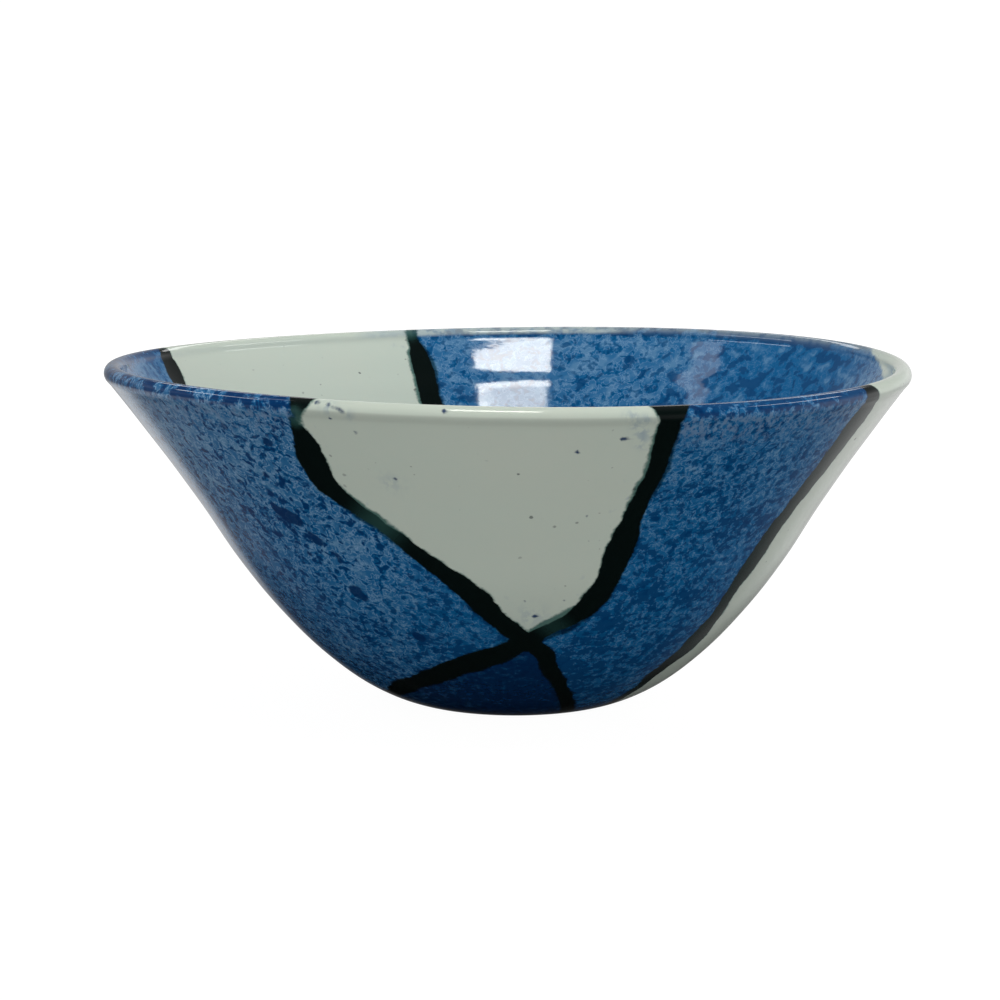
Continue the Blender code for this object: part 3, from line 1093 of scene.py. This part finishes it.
@dataclass(frozen=True)
class Glaze:
    """Whole finish of the bowl: two grounds, the bands over them, and bare clay on the foot."""

    blue: SpongedBlue = SpongedBlue()
    white: PlainWhite = PlainWhite()
    band: BrushedBand = BrushedBand()
    clay: BareClay = BareClay()
    roughness: float = 0.040
    ior: float = 1.5
    peel: float = 0.00003

    def colour(self, tree: Tree, pattern: Socket) -> Socket:
        """Colour of the glaze: the grounds, then bleed, bands and dabs laid over each other.

        Args:
            tree: Tree of the material.
            pattern: Place on the unrolled wall.

        Returns:
            Socket that puts the colour out.
        """
        edge = brush_edge_group()

        def mask(distance: Socket, ragged: float, soft: float) -> Socket:
            """Mask of a signed distance."""
            return tree.group(edge, "Mask", Pattern=pattern, Distance=distance, Ragged=ragged, Soft=soft)

        white = tree.attribute("white")
        field = mask(tree.times(white, -1.0), 0.6, 0.8)
        band = mask(tree.attribute("band"), 0.55, 0.35)
        wash = mask(tree.attribute("wash"), 0.9, 0.7)
        dab = mask(tree.attribute("dab"), 0.7, 0.5)
        down = tree.axes(pattern)[2]
        past = tree.plus(down, tree.times(tree.less(tree.noise(pattern, 330.0, 2.0), 0.5), 0.004))
        # painted shade in the hollow under the lip: mottled for the blue, smooth for the white
        hollow_shade = tree.times(tree.span(past, 0.0040, 0.0050), tree.span(past, 0.0060, 0.0072, 1.0, 0.0))
        shade = tree.times(tree.span(down, 0.0048, 0.0058), tree.span(down, 0.0060, 0.0095, 1.0, 0.0))
        drip = tree.times(tree.span(past, 0.0056, 0.0072), tree.span(down, 0.010, 0.024, 0.8, 0.0))
        blue = tree.group(
            self.blue.group(), "Colour", Pattern=pattern, Inner=tree.span(down, -0.004, 0.0, 1.0, 0.0),
            Cloud=tree.attribute("cloud"), Pale=tree.attribute("pale"), Deep=tree.attribute("deep"),
            Lip=tree.span(tree.math("ABSOLUTE", past), 0.0048, 0.0060, 1.0, 0.0), HollowShade=hollow_shade, Drip=drip,
        )
        smudge = tree.attribute("smudge")
        plain = tree.group(
            self.white.group(), "Colour", Pattern=pattern, Inside=white, HollowShade=shade, Smudge=smudge
        )
        ground = tree.mix(field, blue, plain)
        # back lip turns pale: partly thin glaze, partly painted reflection
        thin_glaze_and_sheen = tree.span(tree.noise(pattern, 230.0, 3.0), 0.35, 0.55, 0.55, 1.0)
        ground = tree.mix(tree.times(tree.attribute("crest"), thin_glaze_and_sheen), ground, self.white.crest)
        ground = tree.mix(tree.times(dab, 0.92), ground, self.blue.dab)
        washed = tree.mix(tree.times(wash, 0.9), ground, self.band.bleed, "MULTIPLY")
        depth = tree.attribute("depth")
        ink = tree.mix(tree.span(depth, 0.5, 0.95), self.band.thin, self.band.core)
        glazed = tree.mix(tree.times(band, tree.span(depth, 0.0, 0.7)), washed, ink)
        return tree.mix(tree.attribute("bare"), glazed, self.clay.body)

    def material(self) -> bpy.types.Material:
        """Builds the material on the bowl's own attributes.

        Returns:
            The finished material.
        """
        material = bpy.data.materials.new("sponged_glaze")
        material.use_nodes = True
        tree = Tree(material.node_tree)
        shader = material.node_tree.nodes["Principled BSDF"]
        pattern = tree.attribute("pattern", "Vector")
        tree.put(shader.inputs["Base Color"], self.colour(tree, pattern))
        glossy = tree.plus(tree.times(tree.noise(pattern, 260.0, 3.0), 0.03), self.roughness)
        clay = tree.times(tree.attribute("bare"), self.clay.roughness)
        tree.put(shader.inputs["Roughness"], tree.math("ADD", glossy, clay, clamp=True))
        shader.inputs["IOR"].default_value = self.ior
        fine = tree.times(tree.noise(pattern, 900.0, 2.0), 0.15)
        height = tree.plus(tree.noise(pattern, 160.0, 2.0), fine)
        bump = tree.node("ShaderNodeBump", {"Strength": 1.0, "Distance": self.peel, "Height": height})
        tree.put(shader.inputs["Normal"], bump.outputs["Normal"])
        return material


class SoftLight(NamedTuple):
    """Rectangular lamp aimed at the bowl.

    Attributes:
        name: Name of the lamp.
        azimuth: Direction that the lamp hangs in, in degrees.
        elevation: Its height above the ground's plane, in degrees.
        distance: Distance from the aim, in metres.
        width: Breadth in metres.
        height: Height in metres.
        radiance: Brightness of its face, where 1 is the white of the picture.
        roll: Turn about the line to the bowl, in degrees.
        mirrored: Whether the glaze shows it as a highlight.
        tint: Colour of its light.
    """

    name: str
    azimuth: float
    elevation: float
    distance: float
    width: float
    height: float
    radiance: float
    roll: float = 0.0
    mirrored: bool = True
    tint: Colour = (1.0, 1.0, 1.0)


class Shade(NamedTuple):
    """Dark patch of the room that the glaze mirrors.

    Attributes:
        towards: Unit vector to its middle.
        start: Cosine of the angle from the middle at which it begins.
        full: Cosine at which it is darkest.
        left: Share of the brightness left there.
    """

    towards: tuple[float, float, float]
    start: float
    full: float
    left: float


@dataclass(frozen=True)
class Studio:
    """Pale floor, white surroundings, soft lamps and the camera."""

    lamps: tuple[SoftLight, ...] = (
        SoftLight("window_low", -93.9, 64.7, 1.74, 0.52, 0.30, 11.5, tint=WINDOW_TINT),
        SoftLight("window_high", -95.1, 71.3, 1.75, 0.52, 0.107, 19.0, tint=WINDOW_TINT),
        SoftLight("back_strip", 90.0, 31.0, 1.80, 1.60, 0.20, 2.4),
        SoftLight("left_strip", 171.0, 36.0, 1.80, 0.90, 0.16, 4.5, roll=25.0),
        SoftLight("right_strip", 11.0, 37.0, 1.80, 0.90, 0.16, 4.5, roll=-25.0),
        SoftLight("left_pane", 171.0, 51.4, 1.75, 0.19, 0.30, 1.8),
        SoftLight("top_fill", -90.0, 86.0, 2.50, 1.50, 1.50, 1.5, mirrored=False),
        SoftLight("front_fill", -90.0, 8.0, 2.00, 1.20, 0.80, 1.0, mirrored=False),
        SoftLight("right_fill", 8.0, 6.0, 2.00, 1.00, 1.00, 2.2, mirrored=False),
    )
    aim: tuple[float, float, float] = (0.0, 0.0, 0.11)
    camera_place: tuple[float, float, float] = (0.0, -0.9863, 0.2251)
    camera_aim: tuple[float, float, float] = (-0.0028, 0.0, 0.0738)
    sensor: float = 36.0
    lens: float = 95.0
    floor_rings: tuple[float, ...] = (0.1, 0.3, 0.8, 2.0, 8.0)
    floor_sides: int = 96
    floor_bounce: float = 0.45
    floor_white: float = 0.07
    floor_glow: float = 0.975
    floor_edge: float = 1.1
    backdrop: float = 1.05
    sky: float = 0.18
    horizon: float = 0.90
    below: float = 0.10
    nadir: float = 0.005
    table: float = 0.75
    eye_level: float = 0.48
    ceiling: float = 0.10
    shades: tuple[Shade, ...] = (
        Shade((0.015, 0.848, -0.530), 0.905, 0.965, 0.12),
        Shade((-0.307, 0.760, -0.574), 0.957, 0.987, 0.15),
    )

    def camera(self) -> None:
        """Sets the camera at the photograph's angle, level and without shift."""
        data = bpy.data.cameras.new("camera")
        data.sensor_fit = "HORIZONTAL"
        data.sensor_width = self.sensor
        data.lens = self.lens
        camera = bpy.data.objects.new("camera", data)
        camera.location = self.camera_place
        look = Vector(self.camera_aim) - camera.location
        camera.rotation_euler = look.to_track_quat("-Z", "Y").to_euler()
        bpy.context.scene.collection.objects.link(camera)
        bpy.context.scene.camera = camera

    def lights(self) -> None:
        """Hangs the lamps, each aimed at the middle of the rim and unseen by the camera."""
        aim = Vector(self.aim)
        for lamp in self.lamps:
            data = bpy.data.lights.new(lamp.name, "AREA")
            data.shape = "RECTANGLE"
            data.size = lamp.width
            data.size_y = lamp.height
            data.energy = lamp.radiance * lamp.width * lamp.height * math.pi
            data.color = lamp.tint
            turn, lift = math.radians(lamp.azimuth), math.radians(lamp.elevation)
            away = Vector((math.cos(turn) * math.cos(lift), math.sin(turn) * math.cos(lift), math.sin(lift)))
            light = bpy.data.objects.new(lamp.name, data)
            light.location = aim + away * lamp.distance
            facing = (-away).to_track_quat("-Z", "Y")
            light.rotation_euler = (facing @ Quaternion((0.0, 0.0, 1.0), math.radians(lamp.roll))).to_euler()
            light.visible_camera = False
            light.visible_glossy = lamp.mirrored
            bpy.context.scene.collection.objects.link(light)

    def surroundings(self) -> None:
        """White behind the bowl, and a room for its light: bright all round at eye level, dim above
        and dark below. The glaze mirrors a bright table, dimmer in front and low down behind, and
        a room that dims upwards.
        """
        world = bpy.data.worlds.new("surroundings")
        bpy.context.scene.world = world
        world.use_nodes = True
        tree = Tree(world.node_tree)
        background = world.node_tree.nodes["Background"]
        way = tree.node("ShaderNodeTexCoord", {}).outputs["Generated"]
        across, away, up = tree.axes(way)
        low = tree.span(up, -0.80, -0.55, self.nadir, self.below)
        sides = tree.span(up, -0.62, -0.05, 0.0, self.horizon - self.below)
        high = tree.span(up, 0.45, 0.75, 0.0, self.sky - self.horizon)
        room = tree.plus(tree.plus(low, sides), high)
        table = tree.span(up, -0.62, -0.25, 0.0, self.table - self.below)
        edge = tree.span(up, -0.25, -0.13, 0.0, self.eye_level - self.table)
        far = tree.span(up, 0.10, 0.50, 0.0, self.ceiling - self.eye_level)
        around = tree.plus(tree.plus(low, table), tree.plus(edge, far))
        level = tree.times(tree.span(up, -0.22, -0.10), tree.span(up, 0.08, 0.24, 1.0, 0.15))
        side = tree.blend(level, 1.0, tree.span(across, -0.6, 0.5, 0.35, 1.6))
        mirrored = tree.times(tree.times(around, side), tree.span(away, -0.5, 0.2, 0.2, 1.0))
        for shade in self.shades:
            near = tree.vector("DOT_PRODUCT", {0: way, 1: shade.towards}, "Value")
            mirrored = tree.times(mirrored, tree.span(near, shade.start, shade.full, 1.0, shade.left))
        path = tree.node("ShaderNodeLightPath", {}).outputs
        light = tree.blend(path["Is Glossy Ray"], room, mirrored)
        plain = tree.times(path["Is Camera Ray"], self.backdrop)
        tree.put(background.inputs["Color"], (1.0, 1.0, 1.0))
        tree.put(background.inputs["Strength"], tree.math("MAXIMUM", light, plain))

    def floor(self) -> bpy.types.Object:
        """Round pale floor: rings of a disc on a grid of radius and angle.

        The camera sees it near white, with the bowl's soft shadow. It gives back less light than
        that, isn't seen in the glaze, and lets a look from below pass.

        Returns:
            The floor's object, linked to the scene.
        """
        radius = np.array(self.floor_rings)[:, None]
        turn = np.linspace(0.0, 2 * math.pi, self.floor_sides, endpoint=False)
        x = radius * np.cos(turn)
        rings = np.stack([x, radius * np.sin(turn), np.zeros_like(x)], axis=2)
        vertices = np.concatenate([[[0.0, 0.0, 0.0]], rings.reshape(-1, 3)])
        column = np.arange(self.floor_sides)
        following = (column + 1) % self.floor_sides
        inner = 1 + np.arange(len(radius) - 1)[:, None] * self.floor_sides
        outer = inner + self.floor_sides
        corners = (inner + column, outer + column, outer + following, inner + following)
        quads = np.stack(corners, axis=2).reshape(-1, 4)
        fan = np.stack([np.zeros_like(column), 1 + column, 1 + following], axis=1)
        mesh = bpy.data.meshes.new("floor")
        mesh.from_pydata(vertices.tolist(), [], fan.tolist() + quads.tolist())
        mesh.materials.append(self.floor_material())
        floor = bpy.data.objects.new("floor", mesh)
        floor.visible_glossy = False
        bpy.context.scene.collection.objects.link(floor)
        return floor

    def floor_material(self) -> bpy.types.Material:
        """Matt white for the camera, glowing to plain white far out, and matt grey for the rest.

        Returns:
            The finished material.
        """
        material = bpy.data.materials.new("pale_floor")
        material.use_nodes = True
        tree = Tree(material.node_tree)
        material.node_tree.nodes.remove(material.node_tree.nodes["Principled BSDF"])
        output = material.node_tree.nodes["Material Output"]
        place = tree.node("ShaderNodeTexCoord", {}).outputs["Object"]
        distance = tree.vector("LENGTH", {0: place}, "Value")
        strength = tree.span(distance, 0.3, 1.6, self.floor_glow, self.floor_edge)
        glow, white, grey = (
            tree.node(kind, given).outputs[0] for kind, given in (
                ("ShaderNodeEmission", {"Strength": strength}),
                ("ShaderNodeBsdfDiffuse", {"Color": (self.floor_white,) * 3}),
                ("ShaderNodeBsdfDiffuse", {"Color": (self.floor_bounce,) * 3}),
            )
        )
        camera = tree.node("ShaderNodeLightPath", {}).outputs["Is Camera Ray"]
        below = tree.node("ShaderNodeNewGeometry", {}).outputs["Backfacing"]
        clear = tree.node("ShaderNodeBsdfTransparent", {}).outputs[0]
        pale = tree.node("ShaderNodeAddShader", {0: white, 1: glow}).outputs[0]
        seen = tree.node("ShaderNodeMixShader", {0: camera, 1: grey, 2: pale}).outputs[0]
        under = tree.node("ShaderNodeMixShader", {0: below, 1: seen, 2: clear}).outputs[0]
        tree.put(output.inputs["Surface"], under)
        return material

    def build(self) -> None:
        """Puts camera, lamps, surroundings and floor into the scene."""
        self.camera()
        self.lights()
        self.surroundings()
        self.floor()
        bpy.context.scene.view_settings.view_transform = "Standard"


def rim_from_frame(wave: float) -> tuple[float, float]:
    """Rim's radius and the height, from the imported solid's box.

    Args:
        wave: How far the rim rises above its mean height.

    Returns:
        Radius and height that keep the finer surface inside the solid's box.
    """
    low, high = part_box(NODE)
    return (high[1] - low[1]) / 2 - BOX_MARGIN, high[2] - wave - BOX_MARGIN


def main() -> None:
    """Builds the studio and the bowl, and reports each piece."""
    logging.basicConfig(level=logging.INFO, format="%(name)s: %(message)s")
    studio = Studio()
    studio.build()
    log.info("studio: camera, %d lamps, floor and surroundings", len(studio.lamps))
    radius, height = rim_from_frame(Bowl.rim_wave)
    bowl = Bowl(Section(radius, height))
    piece = bowl.build()
    piece.data.materials.append(Glaze().material())
    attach(piece, BODY)
    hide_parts(NODE)
    counts = (len(piece.data.polygons), len(STROKES), len(FIELDS))
    log.info("%s: %d faces, %d strokes and %d fields", piece.name, *counts)


if __name__ == "__main__":
    main()
